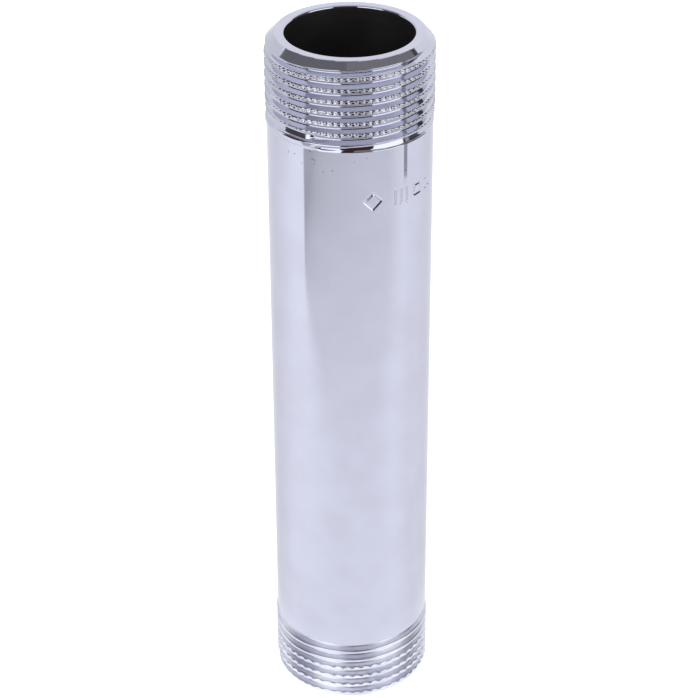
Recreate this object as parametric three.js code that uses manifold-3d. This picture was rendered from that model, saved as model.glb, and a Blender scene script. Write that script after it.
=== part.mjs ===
// A threaded pipe nipple for water pipework: one length of chrome-plated brass tube with a
// right-hand G 3/4 parallel pipe thread (ISO 228) on each end and a plain bore right through.
// Millimetres, +Z along the tube, origin at the middle of the lower end face.
// An angle about the axis is counted from -Y towards +X.
import * as THREE from "three";
import { mergeVertices } from "three/addons/utils/BufferGeometryUtils.js";
import Module from "manifold-3d";

const LENGTH = 120;
const BARREL_RADIUS = 13.0;
const BORE_RADIUS = 10.0;

// End faces: a flat ring between the deburred bore edge and the 45 degree lead-in chamfer.
const DEBURR = 0.4;
const FACE_RADIUS = 11.6;

// G 3/4: 14 threads to the inch, 55 degree Whitworth form.
const PITCH = 25.4 / 14;
const MAJOR_RADIUS = 26.441 / 2;
const THREAD_DEPTH = 1.162;
const MINOR_RADIUS = MAJOR_RADIUS - THREAD_DEPTH;
const FLANK_SLOPE = Math.tan(THREE.MathUtils.degToRad(55 / 2));
// The crest and the root are cut flat where the standard rounds them.
const ROOT_HALF_WIDTH = PITCH / 4 - (THREAD_DEPTH / 2) * FLANK_SLOPE;
const CREST_HALF_WIDTH = PITCH / 2 - ROOT_HALF_WIDTH;

// Next to the barrel each groove is cut shallow and wide. Its last quarter turn is level, not
// helical, and there the groove runs out.
const SHALLOW_RADIUS = 12.65;
const DEEPENING_TURNS = 1 / 24;
const LEVEL_TURNS = 1 / 4;
const RUNOUT_TURNS = 1 / 24;

const SEGMENTS = 48;
// How far the cutting bar reaches past the crests, and how far it clears them once drawn out.
const OVERREACH = 0.8;
const CLEARANCE = 0.2;

// length: end face to where the blank steps down to the barrel. rootHeight, rootAngle: where the
// groove's middle line runs out, as a distance from the end face and an angle in degrees.
// shallowTurns: how much of the groove is shallow. turns: enough to pass the end face.
const UPPER_THREAD = { length: 14.0, rootHeight: 14.1, rootAngle: -30, shallowTurns: 1, turns: 9 };
const LOWER_THREAD = { length: 11.8, rootHeight: 11.95, rootAngle: 180, shallowTurns: 0.3, turns: 8 };
const SHOULDER = 0.4;

const wasm = await Module();
wasm.setup();

function solidOf(geometry) {
  geometry.deleteAttribute("normal");
  geometry.deleteAttribute("uv");
  const merged = mergeVertices(geometry, 1e-5);
  return new wasm.Manifold(
    new wasm.Mesh({
      numProp: 3,
      vertProperties: new Float32Array(merged.attributes.position.array),
      triVerts: new Uint32Array(merged.index.array),
    }),
  );
}

function geometryOf(solid) {
  const mesh = solid.getMesh();
  const geometry = new THREE.BufferGeometry();
  geometry.setAttribute("position", new THREE.BufferAttribute(mesh.vertProperties, 3));
  geometry.setIndex(new THREE.BufferAttribute(mesh.triVerts, 1));
  const facets = geometry.toNonIndexed();
  facets.computeVertexNormals();
  return facets;
}

// The tube before its threads are cut: bore, deburred edges, end faces, chamfers and barrel.
function blank() {
  const chamfer = MAJOR_RADIUS - FACE_RADIUS;
  const upperShoulder = LENGTH - UPPER_THREAD.length;
  const profile = [
    [BORE_RADIUS, DEBURR],
    [BORE_RADIUS + DEBURR, 0],
    [FACE_RADIUS, 0],
    [MAJOR_RADIUS, chamfer],
    [MAJOR_RADIUS, LOWER_THREAD.length],
    [BARREL_RADIUS, LOWER_THREAD.length + SHOULDER],
    [BARREL_RADIUS, upperShoulder - SHOULDER],
    [MAJOR_RADIUS, upperShoulder],
    [MAJOR_RADIUS, LENGTH - chamfer],
    [FACE_RADIUS, LENGTH],
    [BORE_RADIUS + DEBURR, LENGTH],
    [BORE_RADIUS, LENGTH - DEBURR],
    [BORE_RADIUS, DEBURR],
  ].map(([radius, height]) => new THREE.Vector2(radius, height));
  return new THREE.LatheGeometry(profile, SEGMENTS).rotateX(Math.PI / 2);
}

// How far the groove's floor is from the axis, at a number of turns from where it runs out.
function floorRadius(turn, thread) {
  const past = (turn - thread.shallowTurns) / DEEPENING_TURNS;
  const deepening = THREE.MathUtils.clamp(past, 0, 1);
  return THREE.MathUtils.lerp(SHALLOW_RADIUS, MINOR_RADIUS, deepening);
}

// How far the tool has drawn straight out of the groove, at a number of turns from its end.
function toolLift(turn) {
  const drawn = THREE.MathUtils.clamp(1 - turn / RUNOUT_TURNS, 0, 1);
  return drawn * (MAJOR_RADIUS - SHALLOW_RADIUS + CLEARANCE);
}

// The groove's section across the helix: x along the nipple, y away from its axis.
function grooveSection() {
  const outer = MAJOR_RADIUS + OVERREACH;
  return new THREE.Shape([
    new THREE.Vector2(-CREST_HALF_WIDTH, outer),
    new THREE.Vector2(-CREST_HALF_WIDTH, MAJOR_RADIUS),
    new THREE.Vector2(-ROOT_HALF_WIDTH, MINOR_RADIUS),
    new THREE.Vector2(ROOT_HALF_WIDTH, MINOR_RADIUS),
    new THREE.Vector2(CREST_HALF_WIDTH, MAJOR_RADIUS),
    new THREE.Vector2(CREST_HALF_WIDTH, outer),
  ]);
}

// The helical bar of air that a thread's groove is, wound up from where it runs out.
function grooveCutter(thread) {
  const bar = new THREE.ExtrudeGeometry(grooveSection(), {
    depth: thread.turns,
    steps: thread.turns * SEGMENTS,
    bevelEnabled: false,
  });
  const start = THREE.MathUtils.degToRad(thread.rootAngle);
  const position = bar.attributes.position;
  for (let i = 0; i < position.count; i++) {
    const turn = position.getZ(i);
    const across = position.getX(i);
    const radius = Math.max(position.getY(i), floorRadius(turn, thread));
    const widening = (radius - position.getY(i)) * FLANK_SLOPE * Math.sign(across);
    const reach = radius + toolLift(turn);
    const angle = start + 2 * Math.PI * turn;
    position.setXYZ(
      i,
      reach * Math.sin(angle),
      -reach * Math.cos(angle),
      PITCH * Math.max(turn - LEVEL_TURNS, 0) + across + widening,
    );
  }
  return bar;
}

function upperCutter() {
  return grooveCutter(UPPER_THREAD).translate(0, 0, LENGTH - UPPER_THREAD.rootHeight);
}

// Turning the bar end for end about X keeps the helix right-handed and mirrors the angle.
function lowerCutter() {
  const mirrored = { ...LOWER_THREAD, rootAngle: 180 - LOWER_THREAD.rootAngle };
  return grooveCutter(mirrored).rotateX(Math.PI).translate(0, 0, LOWER_THREAD.rootHeight);
}

const chromedBrass = new THREE.MeshStandardMaterial({
  color: 0xd4d6e2,
  roughness: 0.08,
  metalness: 1,
});

const body = solidOf(blank())
  .subtract(solidOf(upperCutter()))
  .subtract(solidOf(lowerCutter()));

const nipple = new THREE.Group();
const nippleBody = new THREE.Mesh(geometryOf(body), chromedBrass);
nippleBody.name = "nipple_body";
nipple.add(nippleBody);

export default nipple;
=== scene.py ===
"""A chrome-plated G 3/4 barrel nipple: one brass tube with a serrated pipe thread cut on each end.

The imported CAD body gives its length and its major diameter. Its skin is built here as one closed
mesh with the rounded thread form, the run-outs, the serrated crests and a plain generic stamp.
Lengths in the named values are millimetres, and MM turns them into metres. An angle about the
axis is counted from -Y towards +X. A depth is counted from the nearer end face along the tube.
"""

import math

import bpy
import numpy as np
from mathutils import Matrix, Vector


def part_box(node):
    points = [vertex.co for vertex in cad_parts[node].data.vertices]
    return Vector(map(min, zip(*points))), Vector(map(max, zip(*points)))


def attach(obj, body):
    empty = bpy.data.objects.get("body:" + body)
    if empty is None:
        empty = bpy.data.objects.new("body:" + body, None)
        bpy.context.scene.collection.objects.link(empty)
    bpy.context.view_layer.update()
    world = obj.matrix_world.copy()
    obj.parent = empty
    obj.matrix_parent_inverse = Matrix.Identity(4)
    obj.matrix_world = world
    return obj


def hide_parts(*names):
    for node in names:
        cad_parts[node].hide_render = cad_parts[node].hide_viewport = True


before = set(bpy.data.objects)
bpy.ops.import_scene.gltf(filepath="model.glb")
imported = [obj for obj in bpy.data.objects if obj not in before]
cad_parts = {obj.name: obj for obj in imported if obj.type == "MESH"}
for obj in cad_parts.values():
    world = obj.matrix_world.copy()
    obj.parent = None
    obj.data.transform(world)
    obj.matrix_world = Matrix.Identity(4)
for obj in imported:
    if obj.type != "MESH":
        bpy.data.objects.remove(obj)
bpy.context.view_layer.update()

MM = 0.001
TURN = 2 * math.pi
body_low, body_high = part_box("nipple_body")
LENGTH = (body_high[2] - body_low[2]) / MM
MAJOR_RADIUS = (body_high[0] - body_low[0]) / 2 / MM

BARREL_RADIUS = 13.0
BORE_RADIUS = 10.0
DEBURR = 0.4
FACE_RADIUS = 11.6
# A second ring of vertices lies this close to a sharp corner, so that the shading keeps it crisp.
EDGE = 0.08

# G 3/4: 14 threads to the inch, 55 degree flanks.
PITCH = 25.4 / 14
HALF_ANGLE = math.radians(55 / 2)

# Next to the barrel each groove is cut shallow and wide, on a floor that slopes like the throat of
# the die. Its last quarter turn is level and narrow, and ends short.
SHALLOW_RADIUS = 12.62
THROAT = math.tan(math.radians(17))
DEEPENING_TURNS = 1 / 24
WIDENING_TURNS = 1 / 5
WIDENING = 0.12
LEVEL_TURNS = 1 / 4
RUNOUT_TURNS = 1 / 36
TOOL_CLEARANCE = 0.2
# How far under a full groove the sloping floor is kept where it plays no part.
SUNK = 1.0
# The shallow part is pulled towards the end face over PULL_TURNS, and let go again over RELEASE_TURNS
# on either side of its end.
PULL_TURNS = 0.2
RELEASE_TURNS = 0.05
SHOULDER = 0.4
EDGE_BLEND = 0.07
CHAMFER_BLEND = 0.12

# lower: whether this is the lower end. skin_end: how deep this end's part of the mesh reaches.
# length: end face to where the blank steps down to the barrel. height, angle: where the groove
# runs out, as a depth and an angle in degrees seen from this thread's own end. shallow_turns: how
# much of the groove is shallow, and pulled: how far that part lies towards the end face. root: the
# groove's rounding. crest_out, crest_in: half flat and rounding of a crest on its side towards the
# end face and towards the barrel, blunter than the standard's since the serrations are rolled on.
# rows_out, rows_in: where the rows of vertices lie from the root to the crest on either side, as a
# share of half a pitch. notches: serrations in a turn of its crest, with this many steps of
# vertices to each, pressed to notch_depth, notch_width of their spacing across, on the crests down
# to serrated, and reaching as far as edge below the crest's middle.
UPPER = dict(
    lower=False, length=14.0, height=13.97, angle=-30, shallow_turns=1.0, pulled=0.3,
    skin_end=15.4, root=0.22, crest_out=(0.0, 0.40), crest_in=(0.206, 0.06),
    rows_out=(0.0, 0.15, 0.24, 0.51, 0.59, 0.66, 0.76, 0.88, 1.0),
    rows_in=(0.0, 0.15, 0.24, 0.69, 0.75, 0.82, 1.0),
    notches=86, steps=4, notch_depth=0.22, notch_width=0.58, unevenness=0.35, serrated=12.9,
    edge=0.2,
)
LOWER = dict(
    lower=True, length=11.8, height=11.95, angle=0, shallow_turns=0.3, pulled=0.0,
    skin_end=13.4, root=0.25, crest_out=(0.0, 0.42), crest_in=(0.0, 0.42),
    rows_out=(0.0, 0.16, 0.27, 0.56, 0.64, 0.74, 0.87, 1.0),
    rows_in=(0.0, 0.16, 0.27, 0.48, 0.56, 0.64, 0.74, 0.87, 1.0),
    notches=48, steps=5, notch_depth=0.27, notch_width=0.50, unevenness=0.10, serrated=7.9,
    edge=0.6,
)
# Times that a groove goes round before it has left the tube at the end face.
GROOVE_PASSES = 9

# Notches differ over this many crests and then repeat. Their middles wander by NOTCH_SHIFT of their
# spacing and their widths by NOTCH_SPREAD, both times the thread's unevenness. They fade out over
# NOTCH_FADE of depth on either side of serrated, and across the crest over NOTCH_EDGE.
NOTCHED_CRESTS = 12
NOTCH_SHIFT = 0.10
NOTCH_SPREAD = 0.4
NOTCH_FADE = 0.1
NOTCH_EDGE = 0.18

# Rows of vertices start to bend towards the run-out at BEND_REACH from the groove, over BEND_ROWS,
# and straighten behind it within BEND_TURNS. PULL_ROWS does the same for the pulled part. Rows that
# come within SNAP of the end of the mesh lie on it. FINE_ROW is the most that they are apart over
# the first FINE_TURNS, where the chamfer is.
BEND_REACH = 1.25
BEND_ROWS = 0.69
BEND_TURNS = 0.1
PULL_ROWS = 0.6
SNAP = 0.03
FINE_ROW = 0.1
FINE_TURNS = 2

# Painted shade: the serrated crests are darker from this deep and this far above a crest's middle.
CREST_SHADE_START = 2.0
CREST_SHADE_ABOVE = 0.37
# The threads' plating reaches this far down the shoulder.
PLATING_PAST = 0.3

# Places along a line or a ring that are closer than this are one.
SAME = 1e-9

BARREL, THREAD, BORE, DULL_LIT_THREAD, PAINTED_SHADE_CREST = 0, 1, 2, 3, 4


def smoothstep(low, high, value):
    step = np.clip((value - low) / (high - low), 0.0, 1.0)
    return step * step * (3 - 2 * step)


def smooth_min(a, b, blend):
    near = np.maximum(blend - np.abs(a - b), 0.0) / blend
    return np.minimum(a, b) - near * near * blend / 4


def smooth_max(a, b, blend):
    return -smooth_min(-a, -b, blend)


# ---------------------------------------------------------------- the shape of a threaded end


def groove_depth(thread):
    """How deep a full groove is between the crests."""
    flat, crest = thread["crest_out"]
    rounding = crest + thread["root"]
    flank = PITCH / 2 - flat - rounding * math.cos(HALF_ANGLE)
    return flank / math.tan(HALF_ANGLE) + rounding * (1 - math.sin(HALF_ANGLE))


def groove_middle(thread, angle=0.0):
    """Depth of the groove's helical middle line at an angle, on its first pass."""
    return thread["height"] + PITCH * (LEVEL_TURNS + (thread["angle"] / 360 - angle / TURN))


def groove_form(across, crest_side, thread):
    """Radius of the groove's surface, at a distance along the tube from its middle line."""
    root = thread["root"]
    flat, crest = crest_side
    flat_start = PITCH / 2 - flat
    root_width = root * math.cos(HALF_ANGLE)
    crest_start = flat_start - crest * math.cos(HALF_ANGLE)
    root_arc = root - np.sqrt(np.maximum(root**2 - across**2, 0))
    flank = root * (1 - math.sin(HALF_ANGLE)) + (across - root_width) / math.tan(HALF_ANGLE)
    to_flat = np.minimum(across - flat_start, 0)
    crest_arc = np.sqrt(np.maximum(crest**2 - to_flat**2, 0)) - crest
    crest_arc = crest_arc + np.maximum(across - PITCH / 2, 0)
    low_part = MAJOR_RADIUS - groove_depth(thread) + np.where(across < root_width, root_arc, flank)
    return np.where(across > crest_start, MAJOR_RADIUS + crest_arc, low_part)


def pull(turn, thread):
    """How far the shallow part of the groove lies towards the end face."""
    end = thread["shallow_turns"]
    released = smoothstep(end - RELEASE_TURNS, end + RELEASE_TURNS, turn)
    return thread["pulled"] * smoothstep(0, PULL_TURNS, turn) * (1 - released)


def groove_radius(angle, depth, thread):
    """Radius left by every pass of the groove over a point."""
    minor = MAJOR_RADIUS - groove_depth(thread)
    sunk = minor - SUNK
    left = np.full(np.broadcast(angle, depth).shape, MAJOR_RADIUS + EDGE_BLEND)
    for turns in range(-1, GROOVE_PASSES):
        turn = (angle - math.radians(thread["angle"])) / TURN + turns
        middle = thread["height"] - PITCH * np.maximum(turn - LEVEL_TURNS, 0) - pull(turn, thread)
        shallow = 1 - np.clip((turn - thread["shallow_turns"]) / DEEPENING_TURNS, 0, 1)
        sloped = SHALLOW_RADIUS + THROAT * (depth - middle)
        floor = sunk + (sloped - sunk) * shallow
        narrow = 1 - smoothstep(0, WIDENING_TURNS, turn)
        drawn = np.clip(1 - turn / RUNOUT_TURNS, 0, 1)
        lift = drawn * (MAJOR_RADIUS - SHALLOW_RADIUS + TOOL_CLEARANCE)
        across = np.maximum(np.abs(depth - middle) - WIDENING * shallow * (1 - narrow), 0)
        form = np.where(
            depth > middle,
            groove_form(across, thread["crest_out"], thread),
            groove_form(across, thread["crest_in"], thread),
        )
        form = form + narrow * (SHALLOW_RADIUS - minor)
        cut = smooth_max(form, floor, EDGE_BLEND) + lift
        left = np.where(turn >= 0, np.minimum(left, cut), left)
    return left


def serration(angle, depth, thread):
    """How deep the crest is pressed in at a point: notches along the tube, none quite alike, that
    reach no further down than the thread's edge below the crest's middle."""
    count = thread["notches"]
    place = angle / TURN * count
    index = np.floor(place).astype(int) % count
    crest = np.round((depth + PITCH * angle / TURN) / PITCH).astype(int)
    random = np.random.default_rng(count)
    draws = random.uniform(-1, 1, (3, NOTCHED_CRESTS, count))
    shift, spread, press = thread["unevenness"] * draws[:, crest % NOTCHED_CRESTS, index]
    centre = 0.5 + NOTCH_SHIFT * shift
    half_width = thread["notch_width"] / 2 * (1 + NOTCH_SPREAD * spread)
    pressed = thread["notch_depth"] * (1 + press)
    off = np.abs(place - np.floor(place) - centre) / half_width
    last = thread["serrated"]
    fade = 1 - smoothstep(last - NOTCH_FADE, last + NOTCH_FADE, depth)
    past_crest = (depth - groove_middle(thread, angle)) % PITCH - PITCH / 2
    past_crest = -past_crest if thread["lower"] else past_crest
    edge = 1 - smoothstep(thread["edge"] - NOTCH_EDGE, thread["edge"], past_crest)
    return pressed * fade * edge * np.clip(1 - off**2, 0, None)


def end_radius(angle, depth, thread):
    """Radius of the outer skin of a threaded end."""
    shoulder = smoothstep(thread["length"], thread["length"] + SHOULDER, depth)
    blank = MAJOR_RADIUS + (BARREL_RADIUS - MAJOR_RADIUS) * shoulder
    cut = smooth_min(blank, groove_radius(angle, depth, thread), EDGE_BLEND)
    cut = np.minimum(cut, MAJOR_RADIUS - serration(angle, depth, thread))
    return smooth_min(cut, FACE_RADIUS + depth, CHAMFER_BLEND)


# ------------------------------------------------------------------------- one closed skin


class Skin:
    """Vertices and faces of one closed mesh. A line is a list of (position along it, vertex)."""

    def __init__(self):
        self.points = []
        self.faces = []
        self.finishes = []

    def vertex(self, angle, radius, height):
        self.points.append((radius * math.sin(angle), -radius * math.cos(angle), height))
        return len(self.points) - 1

    def face(self, corners, finish):
        corners = [c for i, c in enumerate(corners) if c != corners[i - 1]]
        if len(corners) > 2:
            self.faces.append(corners)
            self.finishes.append(finish)

    def stitch(self, left, right, finish):
        """Faces between two lines that run the same way, with any number of vertices on each."""
        i = j = 0
        while i < len(left) - 1 or j < len(right) - 1:
            next_left = left[i + 1][0] if i < len(left) - 1 else math.inf
            next_right = right[j + 1][0] if j < len(right) - 1 else math.inf
            level = abs(next_left - next_right) < SAME
            step_left = level or next_left < next_right
            step_right = level or not step_left
            corners = [left[i][1]]
            corners += [left[i + 1][1]] if step_left else []
            corners += [right[j + 1][1]] if step_right else []
            self.face(corners + [right[j][1]], finish)
            i += step_left
            j += step_right

    def ring(self, radius, height, columns):
        angles = [TURN * i / columns for i in range(columns)]
        return [(a, self.vertex(a, radius, height)) for a in angles]

    def wrap(self, first, second, finish):
        """Faces between two rings: outwards on a wall when second is above first."""
        closed = [ring + [(ring[0][0] + TURN, ring[0][1])] for ring in (first, second)]
        self.stitch(closed[0], closed[1], finish)


def form_rows(thread):
    """Helical rows of vertices: their depths on the meridian at angle 0. They're closer over the
    first two turns, where the chamfer cuts across the thread."""
    groove = groove_middle(thread)
    first = groove - PITCH * (math.floor(groove / PITCH) + 1)
    rows = []
    while first < thread["skin_end"] + PITCH:
        for side, shares in ((1, thread["rows_out"]), (-1, thread["rows_in"])):
            for near, far in zip(shares, shares[1:]):
                low, high = near * PITCH / 2, far * PITCH / 2
                fine = first < FINE_TURNS * PITCH
                parts = max(1, math.ceil((high - low) / FINE_ROW)) if fine else 1
                steps = [low + (high - low) * part / parts for part in range(parts)]
                start = first if side > 0 else first + PITCH
                rows += [start + side * step for step in steps if step > 0 or side > 0]
        rows.append(first + PITCH / 2)
        first += PITCH
    return np.array(sorted(rows))


def row_depths(rows, angles, thread):
    """Depth of every row at every column. Near the run-out the rows bend with the groove, whose
    last quarter turn is level."""
    depth = rows[:, None] - PITCH * angles[None, :] / TURN
    own_turn = (angles - math.radians(thread["angle"])) / TURN
    turn = (own_turn + BEND_TURNS) % 1 - BEND_TURNS
    behind = LEVEL_TURNS * (1 + turn / BEND_TURNS)
    bend = np.where(turn < 0, behind, np.maximum(LEVEL_TURNS - turn, 0))
    middle = thread["height"] - PITCH * (turn - LEVEL_TURNS)
    share = np.clip((depth - middle[None, :] + BEND_REACH) / BEND_ROWS, 0, 1)
    groove = groove_middle(thread)
    across = (rows - groove + PITCH / 2) % PITCH - PITCH / 2
    passes = np.round((groove - rows + across) / PITCH)
    pulled = pull(passes[:, None] + own_turn[None, :], thread)
    follows = np.clip((across + PITCH / 2) / PULL_ROWS, 0, 1)
    depth = depth - PITCH * bend[None, :] * share - pulled * follows[:, None]
    depth = np.where(depth < SNAP, 0.0, depth)
    return np.where(depth > thread["skin_end"] - SNAP, thread["skin_end"], depth)


def add_threaded_end(skin, thread):
    """The outer skin of one end. Returns its ring at the end face and its ring at the barrel."""
    columns = thread["notches"] * thread["steps"]
    angles = TURN * np.arange(columns) / columns
    rows = form_rows(thread)
    depths = row_depths(rows, angles, thread)
    radii = end_radius(angles[None, :], depths, thread)
    index = np.zeros(depths.shape, int)
    for column, angle in enumerate(angles):
        for row in range(len(rows)):
            depth = depths[row, column]
            if row > 0 and depth == depths[row - 1, column]:
                index[row, column] = index[row - 1, column]
                continue
            height = depth if thread["lower"] else LENGTH - depth
            turned = math.pi - angle if thread["lower"] else angle
            index[row, column] = skin.vertex(turned, radii[row, column], height)
    # The lower thread's finish is rougher, and lighter in colour as painted light.
    finish = DULL_LIT_THREAD if thread["lower"] else THREAD
    past_crest = ((rows[:-1] + rows[1:]) / 2 - groove_middle(thread)) % PITCH - PITCH / 2
    on_crest = (past_crest > -CREST_SHADE_ABOVE) & (past_crest < thread["edge"]) & (finish == THREAD)
    for column in range(columns - 1):
        depth = depths[:-1, column]
        finishes = np.where(depth < thread["length"] + PLATING_PAST, finish, BARREL)
        # Painted shade: the serrated crests get a darker colour.
        in_crest_shade = on_crest & (depth > CREST_SHADE_START) & (depth < thread["serrated"])
        finishes = np.where(in_crest_shade, PAINTED_SHADE_CREST, finishes)
        for row in range(len(rows) - 1):
            a, b = index[row, column], index[row + 1, column]
            c, d = index[row + 1, column + 1], index[row, column + 1]
            skin.face([a, b, c, d], int(finishes[row]))
    last = list(zip(rows, index[:, -1]))
    first = [(row + PITCH, vertex) for row, vertex in zip(rows, index[:, 0])]
    first = [(rows[0], index[0, 0])] + first
    last.append((first[-1][0], index[-1, -1]))
    skin.stitch(last, first, finish)
    return ring_of(skin, index[0]), ring_of(skin, index[-1])


def ring_of(skin, vertices):
    """A closed ring as a line in order of its angle."""
    placed = [(math.atan2(skin.points[v][0], -skin.points[v][1]) % TURN, v) for v in vertices]
    placed = [(0.0 if TURN - angle < SAME else angle, v) for angle, v in placed]
    return sorted(placed)


# ------------------------------------------------------------------------------- the stamp

STAMP_ANGLE = 33.0
STAMP_DEPTH_FROM_TOP = 22.8
STAMP_HEIGHT = 4.4
STAMP_SPAN = 76.0
STAMP_PRESSED = 0.18
STAMP_ROW = 0.14
STROKE = 0.2
STROKE_FLOOR = 0.35


def segment_distance(x, y, start, end):
    (x0, y0), (x1, y1) = start, end
    along = ((x - x0) * (x1 - x0) + (y - y0) * (y1 - y0)) / ((x1 - x0) ** 2 + (y1 - y0) ** 2)
    along = np.clip(along, 0, 1)
    return np.hypot(x - x0 - along * (x1 - x0), y - y0 - along * (y1 - y0))


def four_sided(place, reach, turned):
    """The strokes of a square that stands on a corner, turned by an angle."""
    corners = []
    for quarter in range(4):
        angle = turned + quarter * TURN / 4
        corners.append((place + reach * math.cos(angle), reach * math.sin(angle)))
    return list(zip(corners, corners[1:] + corners[:1]))


def stamp_press(x, y):
    """How deep the generic stamp is: a diamond, three bars and two squares, in a row."""
    strokes = four_sided(-4.0, 1.35, 0.0)
    bar = 1.2
    strokes += [((place, -bar), (place, bar)) for place in (-0.2, 0.9, 2.0)]
    for place in (4.5, 7.4):
        strokes += four_sided(place, 0.8 * math.sqrt(2), math.pi / 4)
    nearest = np.min([segment_distance(x, y, *stroke) for stroke in strokes], axis=0)
    return STAMP_PRESSED * (1 - smoothstep(STROKE * STROKE_FLOOR, STROKE, nearest))


def add_stamped_band(skin, top, bottom_height, columns):
    """The band of barrel below a ring, with a fine lattice where the stamp is pressed in."""
    top_height = skin.points[top[0][1]][2]
    bottom = skin.ring(BARREL_RADIUS, bottom_height, columns)
    rows = round((top_height - bottom_height) / STAMP_ROW)
    middle = (top_height + bottom_height) / 2
    lines = []
    for (angle, upper), (_, lower) in zip(top, bottom):
        off = math.degrees(angle) - STAMP_ANGLE
        if abs(off) > STAMP_SPAN / 2:
            lines.append([(0.0, upper), (1.0, lower)])
            continue
        line = [(0.0, upper)]
        x = math.radians(off) * BARREL_RADIUS
        for row in range(1, rows):
            height = top_height + (bottom_height - top_height) * row / rows
            radius = BARREL_RADIUS - float(stamp_press(x, height - middle))
            line.append((row / rows, skin.vertex(angle, radius, height)))
        lines.append(line + [(1.0, lower)])
    for left, right in zip(lines, lines[1:] + lines[:1]):
        skin.stitch(left, right, BARREL)
    return bottom


# Rings of vertices on the plain barrel and in the bore, as shares of the way down.
BARREL_RINGS = (0.04, 0.2, 0.4, 0.6, 0.8, 0.97, 0.985)
BORE_RINGS = (0.1, 0.5, 0.9)
BORE_COLUMNS = 144
BORE_EDGE_STEPS = 6
# The plating covers this many bands of an end face and its bore edge, from the outside in.
PLATED_BANDS = 8


def face_rings(skin, face, level, into):
    """Rings from the outer edge of an end face over its rounded bore edge and into the bore."""
    rings = [
        face,
        skin.ring(FACE_RADIUS - EDGE, level, len(face)),
        skin.ring(BORE_RADIUS + DEBURR + EDGE, level, BORE_COLUMNS),
    ]
    for step in range(BORE_EDGE_STEPS + 1):
        turned = math.pi / 2 * step / BORE_EDGE_STEPS
        radius = BORE_RADIUS + DEBURR * (1 - math.sin(turned))
        height = level + into * DEBURR * (1 - math.cos(turned))
        rings.append(skin.ring(radius, height, BORE_COLUMNS))
    rings.append(skin.ring(BORE_RADIUS, level + into * (DEBURR + EDGE), BORE_COLUMNS))
    return rings


def build_skin():
    skin = Skin()
    upper_face, upper_barrel = add_threaded_end(skin, UPPER)
    lower_face, lower_barrel = add_threaded_end(skin, LOWER)

    columns = len(upper_barrel)
    stamp_top = LENGTH - STAMP_DEPTH_FROM_TOP + STAMP_HEIGHT / 2
    ring = skin.ring(BARREL_RADIUS, stamp_top, 2 * columns)
    skin.wrap(ring, upper_barrel, BARREL)
    above = add_stamped_band(skin, ring, stamp_top - STAMP_HEIGHT, 2 * columns)
    foot = LOWER["skin_end"]
    clear = stamp_top - STAMP_HEIGHT - foot
    for share in BARREL_RINGS:
        below = skin.ring(BARREL_RADIUS, foot + clear * (1 - share), columns)
        skin.wrap(below, above, BARREL)
        above = below
    skin.wrap(lower_barrel, above, BARREL)

    upper_rings = face_rings(skin, upper_face, LENGTH, -1)
    for number, (outer, inner) in enumerate(zip(upper_rings, upper_rings[1:])):
        skin.wrap(outer, inner, THREAD if number < PLATED_BANDS else BORE)
    lower_rings = face_rings(skin, lower_face, 0.0, 1)
    for number, (outer, inner) in enumerate(zip(lower_rings, lower_rings[1:])):
        skin.wrap(inner, outer, THREAD if number < PLATED_BANDS else BORE)
    bore = upper_rings[-1]
    for share in BORE_RINGS:
        lower = skin.ring(BORE_RADIUS, LENGTH * (1 - share), BORE_COLUMNS)
        skin.wrap(bore, lower, BORE)
        bore = lower
    skin.wrap(bore, lower_rings[-1], BORE)
    return skin


# ---------------------------------------------------------------------------- materials


class Nodes:
    """A material's node tree, with a short way to add and link a node."""

    def __init__(self, name):
        self.material = bpy.data.materials.new(name)
        self.material.use_nodes = True
        self.tree = self.material.node_tree
        self.shader = self.tree.nodes["Principled BSDF"]

    def add(self, kind, inputs=(), **settings):
        node = self.tree.nodes.new("ShaderNode" + kind)
        for name, value in settings.items():
            setattr(node, name, value)
        for socket, value in dict(inputs).items():
            if isinstance(value, bpy.types.NodeSocket):
                self.tree.links.new(value, node.inputs[socket])
            else:
                node.inputs[socket].default_value = value
        return node

    def ramp(self, value, low, high, start=0.0, end=1.0):
        """A value brought from the range low to high into the range start to end."""
        inputs = {"Value": value, "From Min": low, "From Max": high, "To Min": start, "To Max": end}
        return self.add("MapRange", inputs).outputs[0]

    def link(self, output, socket):
        self.tree.links.new(output, self.shader.inputs[socket])


# A pit's tone beside the metal's and its dip beside the lathe marks. WEAR is how much likelier pits
# grow where the metal is worn.
PIT_TONE = 0.45
PIT_DIP = -0.6
WEAR = 0.37


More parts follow.
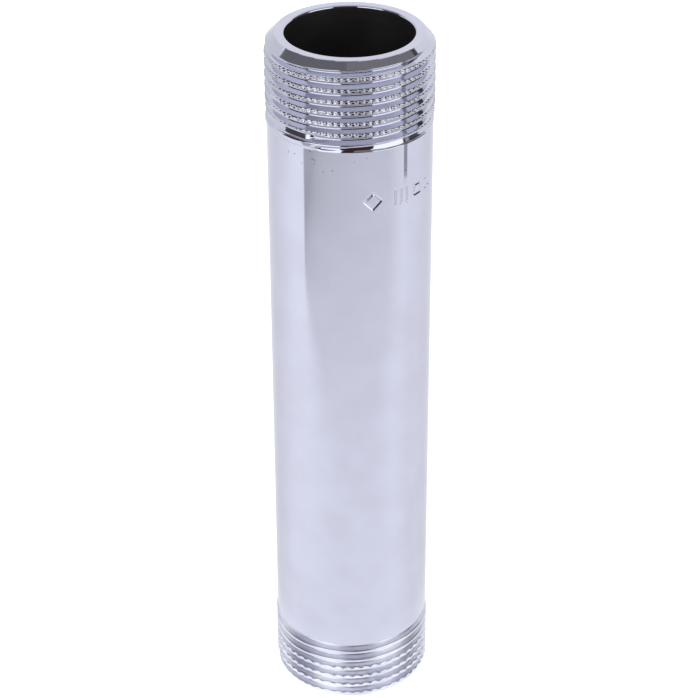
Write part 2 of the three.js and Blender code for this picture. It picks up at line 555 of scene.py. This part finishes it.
def metal(name, colour, dull_colour, roughness, bump, streaks, metallic=1.0, worn=(0.0, 0.0)):
    """Plated metal: uneven tone, roughness that wanders, lathe marks round the tube, and pits that
    thicken from the first height in worn to the second."""
    nodes = Nodes(name)
    nodes.shader.inputs["Metallic"].default_value = metallic
    place = nodes.add("TexCoord").outputs["Object"]
    along = nodes.add("Mapping", {"Vector": place, "Scale": (60, 60, streaks)}).outputs[0]
    cloud = nodes.add("TexNoise", {"Vector": place, "Scale": 160.0, "Detail": 4.0}).outputs["Fac"]
    marks = nodes.add("TexNoise", {"Vector": along, "Scale": 1.0, "Detail": 3.0}).outputs["Fac"]
    cells = nodes.add("TexVoronoi", {"Vector": place, "Scale": 900.0}).outputs["Distance"]
    pits = nodes.ramp(cells, 0.08, 0.16, 1.0, 0.0)
    patch = nodes.add("TexNoise", {"Vector": place, "Scale": 90.0, "Detail": 1.0}).outputs["Fac"]
    if worn[0] < worn[1]:
        height = nodes.add("SeparateXYZ", {0: place}).outputs["Z"]
        near = nodes.ramp(height, worn[0], worn[1], 0.0, WEAR)
        patch = nodes.add("Math", {0: patch, 1: near}, operation="ADD").outputs[0]
    where = nodes.ramp(patch, 0.70, 0.78)
    speck = nodes.add("Math", {0: pits, 1: where}, operation="MULTIPLY").outputs[0]
    tone = nodes.ramp(cloud, 0.35, 0.65)
    base = nodes.add("Mix", {"Factor": tone, "A": colour, "B": dull_colour}, data_type="RGBA")
    mixed = nodes.add("Mix", {"Factor": speck}, data_type="RGBA", blend_type="MIX")
    nodes.tree.links.new(base.outputs["Result"], mixed.inputs["A"])
    mixed.inputs["B"].default_value = tuple(PIT_TONE * c for c in dull_colour[:3]) + (1,)
    nodes.link(mixed.outputs["Result"], "Base Color")
    nodes.link(nodes.ramp(marks, 0.3, 0.7, *roughness), "Roughness")
    relief = {0: speck, 1: PIT_DIP, 2: marks}
    dips = nodes.add("Math", relief, operation="MULTIPLY_ADD").outputs[0]
    bumps = nodes.add("Bump", {"Height": dips, "Strength": 1.0, "Distance": bump})
    nodes.link(bumps.outputs[0], "Normal")
    return nodes.material


# The chrome's bluish tint is partly its own and partly painted reflection of the bluish studio light.
CHROME = (0.597, 0.612, 0.703, 1)
CHROME_DULL = (0.57, 0.58, 0.665, 1)
# A darker copy of the chrome: painted shade for the serrated crests.
CREST_SHADE_COLOUR = (0.42, 0.425, 0.455, 1)
# A lighter copy of the chrome: painted light for the lower thread.
CHROME_FOOT_LIT = (0.80, 0.82, 0.88, 1)
# The bore's near-black colours: painted shade of the deep tube over its unplated metal.
BORE_SHADE_TONE = (0.020, 0.018, 0.018, 1)
BORE_SHADE_DULL = (0.014, 0.012, 0.012, 1)

# The barrel is worn more and more from this far below the upper thread to this far.
WORN_FROM = 6.0
WORN_TO = 0.6


def make_nipple():
    skin = build_skin()
    mesh = bpy.data.meshes.new("chromed_nipple")
    points = [tuple(c * MM for c in point) for point in skin.points]
    mesh.from_pydata(points, [], skin.faces)
    thread_end = LENGTH - UPPER["length"]
    worn = ((thread_end - WORN_FROM) * MM, (thread_end - WORN_TO) * MM)
    finishes = {
        BARREL: metal("chrome_barrel", CHROME, CHROME_DULL, (0.04, 0.08), 4e-7, 2500, worn=worn),
        THREAD: metal("chrome_thread", CHROME, CHROME_DULL, (0.04, 0.10), 8e-7, 3500),
        # The bore: painted shade of the deep tube over its unplated metal.
        BORE: metal("bore_painted_shade", BORE_SHADE_TONE, BORE_SHADE_DULL, (0.3, 0.45), 4e-6, 1500, metallic=0.0),
        # The lower thread: rougher, and lighter in colour as painted light.
        DULL_LIT_THREAD: metal("chrome_foot_painted_light", CHROME_FOOT_LIT, CHROME, (0.26, 0.34), 8e-7, 3500),
        # The serrated crests: a little rougher, and darker in colour as painted shade of their
        # notches.
        PAINTED_SHADE_CREST: metal("chrome_crest_painted_shade", CREST_SHADE_COLOUR, CHROME, (0.06, 0.16), 8e-7, 3500),
    }
    for finish in sorted(finishes):
        mesh.materials.append(finishes[finish])
    mesh.polygons.foreach_set("material_index", skin.finishes)
    mesh.polygons.foreach_set("use_smooth", [True] * len(mesh.polygons))
    mesh.update()
    piece = bpy.data.objects.new("chromed_nipple", mesh)
    bpy.context.collection.objects.link(piece)
    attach(piece, "root")
    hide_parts("nipple_body")


# ------------------------------------------------------------------------ camera and studio

# The camera that the object's outlines fit, in metres and radians, with its lens in millimetres.
CAMERA_BACK = 0.31547
CAMERA_HEIGHT = 0.25150
CAMERA_PITCH = 0.5376
CAMERA_YAW = -0.0004
CAMERA_ROLL = -0.0034
CAMERA_LENS = 114.44
SENSOR_WIDTH = 36.0


def make_camera():
    data = bpy.data.cameras.new("camera")
    data.lens = CAMERA_LENS
    data.sensor_width = SENSOR_WIDTH
    camera = bpy.data.objects.new("camera", data)
    bpy.context.collection.objects.link(camera)
    level = math.cos(CAMERA_PITCH)
    forward = Vector(
        (math.sin(CAMERA_YAW) * level, math.cos(CAMERA_YAW) * level, -math.sin(CAMERA_PITCH))
    )
    flat_right = Vector((math.cos(CAMERA_YAW), -math.sin(CAMERA_YAW), 0))
    flat_up = flat_right.cross(forward)
    right = flat_right * math.cos(CAMERA_ROLL) + flat_up * math.sin(CAMERA_ROLL)
    up = right.cross(forward)
    turned = Matrix((right, up, -forward)).transposed()
    camera.matrix_world = Matrix.Translation((0, -CAMERA_BACK, CAMERA_HEIGHT)) @ turned.to_4x4()
    bpy.context.scene.camera = camera


def stage_object(name, points, faces, material):
    mesh = bpy.data.meshes.new(name)
    mesh.from_pydata(points, [], faces)
    mesh.materials.append(material)
    item = bpy.data.objects.new(name, mesh)
    bpy.context.collection.objects.link(item)
    return item


def one_shader_material(name, kind):
    """A material whose surface is a single shader node of a kind. Returns both."""
    material = bpy.data.materials.new(name)
    material.use_nodes = True
    nodes = material.node_tree.nodes
    nodes.remove(nodes["Principled BSDF"])
    shader = nodes.new("ShaderNode" + kind)
    material.node_tree.links.new(shader.outputs[0], nodes["Material Output"].inputs["Surface"])
    return material, shader


def only_in_reflections(item):
    item.visible_camera = False
    item.visible_diffuse = False
    item.visible_transmission = False
    item.visible_volume_scatter = False
    item.visible_shadow = False


def toward(azimuth, elevation, distance):
    """A point seen from the middle of the tube: azimuth from -Y towards +X, in degrees."""
    a, e = math.radians(azimuth), math.radians(elevation)
    level = distance * math.cos(e)
    height = distance * math.sin(e) + LENGTH / 2 * MM
    return (level * math.sin(a), -level * math.cos(a), height)


def grid_faces(columns, rows):
    """Faces over a grid of vertices that is laid out row by row."""
    width = columns + 1
    starts = [row * width + column for row in range(rows) for column in range(columns)]
    return [(start, start + 1, start + width + 1, start + width) for start in starts]


def make_card(name, azimuths, elevations, distance, radiance, droop=0.0):
    """A lit or dark card that only the polished metal sees. It can droop towards its sides, by
    this many degrees at an azimuth of 100."""
    material, light = one_shader_material(name, "Emission")
    light.inputs["Color"].default_value = tuple(radiance) + (1,)
    across, up = 24, 12
    points = []
    for j in range(up + 1):
        for i in range(across + 1):
            azimuth = azimuths[0] + (azimuths[1] - azimuths[0]) * i / across
            elevation = elevations[0] + (elevations[1] - elevations[0]) * j / up
            points.append(toward(azimuth, elevation - droop * (azimuth / 100) ** 2, distance))
    only_in_reflections(stage_object(name, points, grid_faces(across, up), material))


def make_floor():
    nodes = Nodes("floor_paper")
    nodes.shader.inputs["Base Color"].default_value = (0.62, 0.62, 0.63, 1)
    nodes.shader.inputs["Emission Color"].default_value = (1, 1, 1.05, 1)
    nodes.shader.inputs["Emission Strength"].default_value = 0.62
    nodes.shader.inputs["Roughness"].default_value = 0.9
    nodes.shader.inputs["Specular IOR Level"].default_value = 0.0
    half = 3.0
    corners = [(-half, -half, 0), (half, -half, 0), (half, half, 0), (-half, half, 0)]
    stage_object("floor", corners, [(0, 1, 2, 3)], nodes.material)


GEL_HEIGHT = 0.0004
GEL_FROM, GEL_TO = 0.0136, 2.9
GEL_RINGS, GEL_SPOKES = 80, 361
# The gel's darker front lies between these azimuths. Its distances are metres from the tube's axis.
FRONT_LEFT, FRONT_RIGHT = -64, 50


def gel_shade(azimuth, distance):
    """How much of the floor's light the gel lets through at a place. The front grows darker away
    from the tube, most of all along its left side, and both sides are a little darker too."""
    near = 1 - float(smoothstep(0.08, 0.17, distance))
    left = smoothstep(FRONT_LEFT - 2, FRONT_LEFT + 60 * near, azimuth)
    right = 1 - smoothstep(FRONT_RIGHT - 30 * near, FRONT_RIGHT + 34, azimuth)
    past_left = azimuth - FRONT_LEFT
    slant = 1.2 - 0.35 * past_left / (FRONT_RIGHT - FRONT_LEFT)
    fall = 1.35 * slant * max(min(distance, 0.26) - 0.01, 0)
    edge = 0.42 * math.exp(-max(past_left, 0) / 12) * float(smoothstep(0.15, 0.23, distance))
    front = 1 - min(float(left * right) * (fall + edge), 0.5)
    sides = 0.10 * smoothstep(55, 95, azimuth) + 0.12 * smoothstep(95, 140, azimuth)
    sides += 0.22 * smoothstep(75, 140, -azimuth)
    base = 1 - 0.19 * float(smoothstep(0.013, 0.034, distance))
    return base * front * (1 - float(sides))


def make_floor_gel():
    """A thin grey sheet just over the floor, which only the metal sees: painted shade on the floor as
    the metal reflects it.
    """
    material, clear = one_shader_material("floor_gel", "BsdfTransparent")
    shade = material.node_tree.nodes.new("ShaderNodeVertexColor")
    shade.layer_name = "shade"
    material.node_tree.links.new(shade.outputs["Color"], clear.inputs["Color"])
    points, shades = [], []
    for distance in np.geomspace(GEL_FROM, GEL_TO, GEL_RINGS):
        for azimuth in np.linspace(-180, 180, GEL_SPOKES):
            a = math.radians(azimuth)
            points.append((distance * math.sin(a), -distance * math.cos(a), GEL_HEIGHT))
            shades.append(gel_shade(azimuth, distance))
    faces = grid_faces(GEL_SPOKES - 1, GEL_RINGS - 1)
    gel = stage_object("floor_gel", points, faces, material)
    colours = gel.data.color_attributes.new("shade", "FLOAT_COLOR", "POINT")
    colours.data.foreach_set("color", [c for s in shades for c in (s, s, s, 1)])
    only_in_reflections(gel)


def make_studio():
    scene = bpy.context.scene
    scene.view_settings.view_transform = "Standard"
    world = bpy.data.worlds.new("studio_white")
    world.use_nodes = True
    world.node_tree.nodes["Background"].inputs["Color"].default_value = (1.0, 1.0, 1.05, 1)
    world.node_tree.nodes["Background"].inputs["Strength"].default_value = 1.0
    world.cycles.sampling_method = "NONE"
    scene.world = world

    lamp = bpy.data.lights.new("top_light", "AREA")
    lamp.shape = "DISK"
    lamp.size = 1.6
    lamp.energy = 9.0
    lamp.color = (1.0, 1.0, 1.04)
    light = bpy.data.objects.new("top_light", lamp)
    light.location = (0, 0, 1.5)
    light.visible_glossy = False
    light.visible_camera = False
    bpy.context.collection.objects.link(light)

    make_floor()
    make_floor_gel()
    white, dark = (1.55, 1.55, 1.6), (0.08, 0.07, 0.075)
    make_card("card_left_softbox", (-60, -14), (-9, 60), 1.4, white)
    make_card("card_right_softbox", (31, 75), (-9, 60), 1.4, white)
    make_card("card_front_dark", (-14, 31), (-9, 60), 1.4, (0.05, 0.028, 0.03))
    make_card("card_left_dark", (-97, -60), (-6, 45), 1.4, dark)
    make_card("card_right_dark", (75, 118), (-6, 45), 1.4, dark)
    make_card("card_dark_strip", (77, 83), (-14.7, 20), 0.2, (0.42, 0.42, 0.44))
    make_card("card_overhead_left", (-118, -8), (45, 75), 1.3, (0.185, 0.18, 0.19), droop=20)
    make_card("card_overhead_right", (-8, 112), (45, 75), 1.3, (0.25, 0.24, 0.245), droop=20)
    make_card("card_overhead_back", (113, 247), (48, 82), 1.4, (0.75, 0.75, 0.83))
    make_card("card_ceiling", (0, 360), (72, 90), 1.45, (0.82, 0.83, 0.95))
    make_card("card_back_left", (-166, -118), (-4, 30), 1.4, (0.86, 0.86, 0.90))
    make_card("card_back_right", (118, 162), (-4, 30), 1.4, (0.98, 0.98, 1.02))


make_camera()
make_nipple()
make_studio()
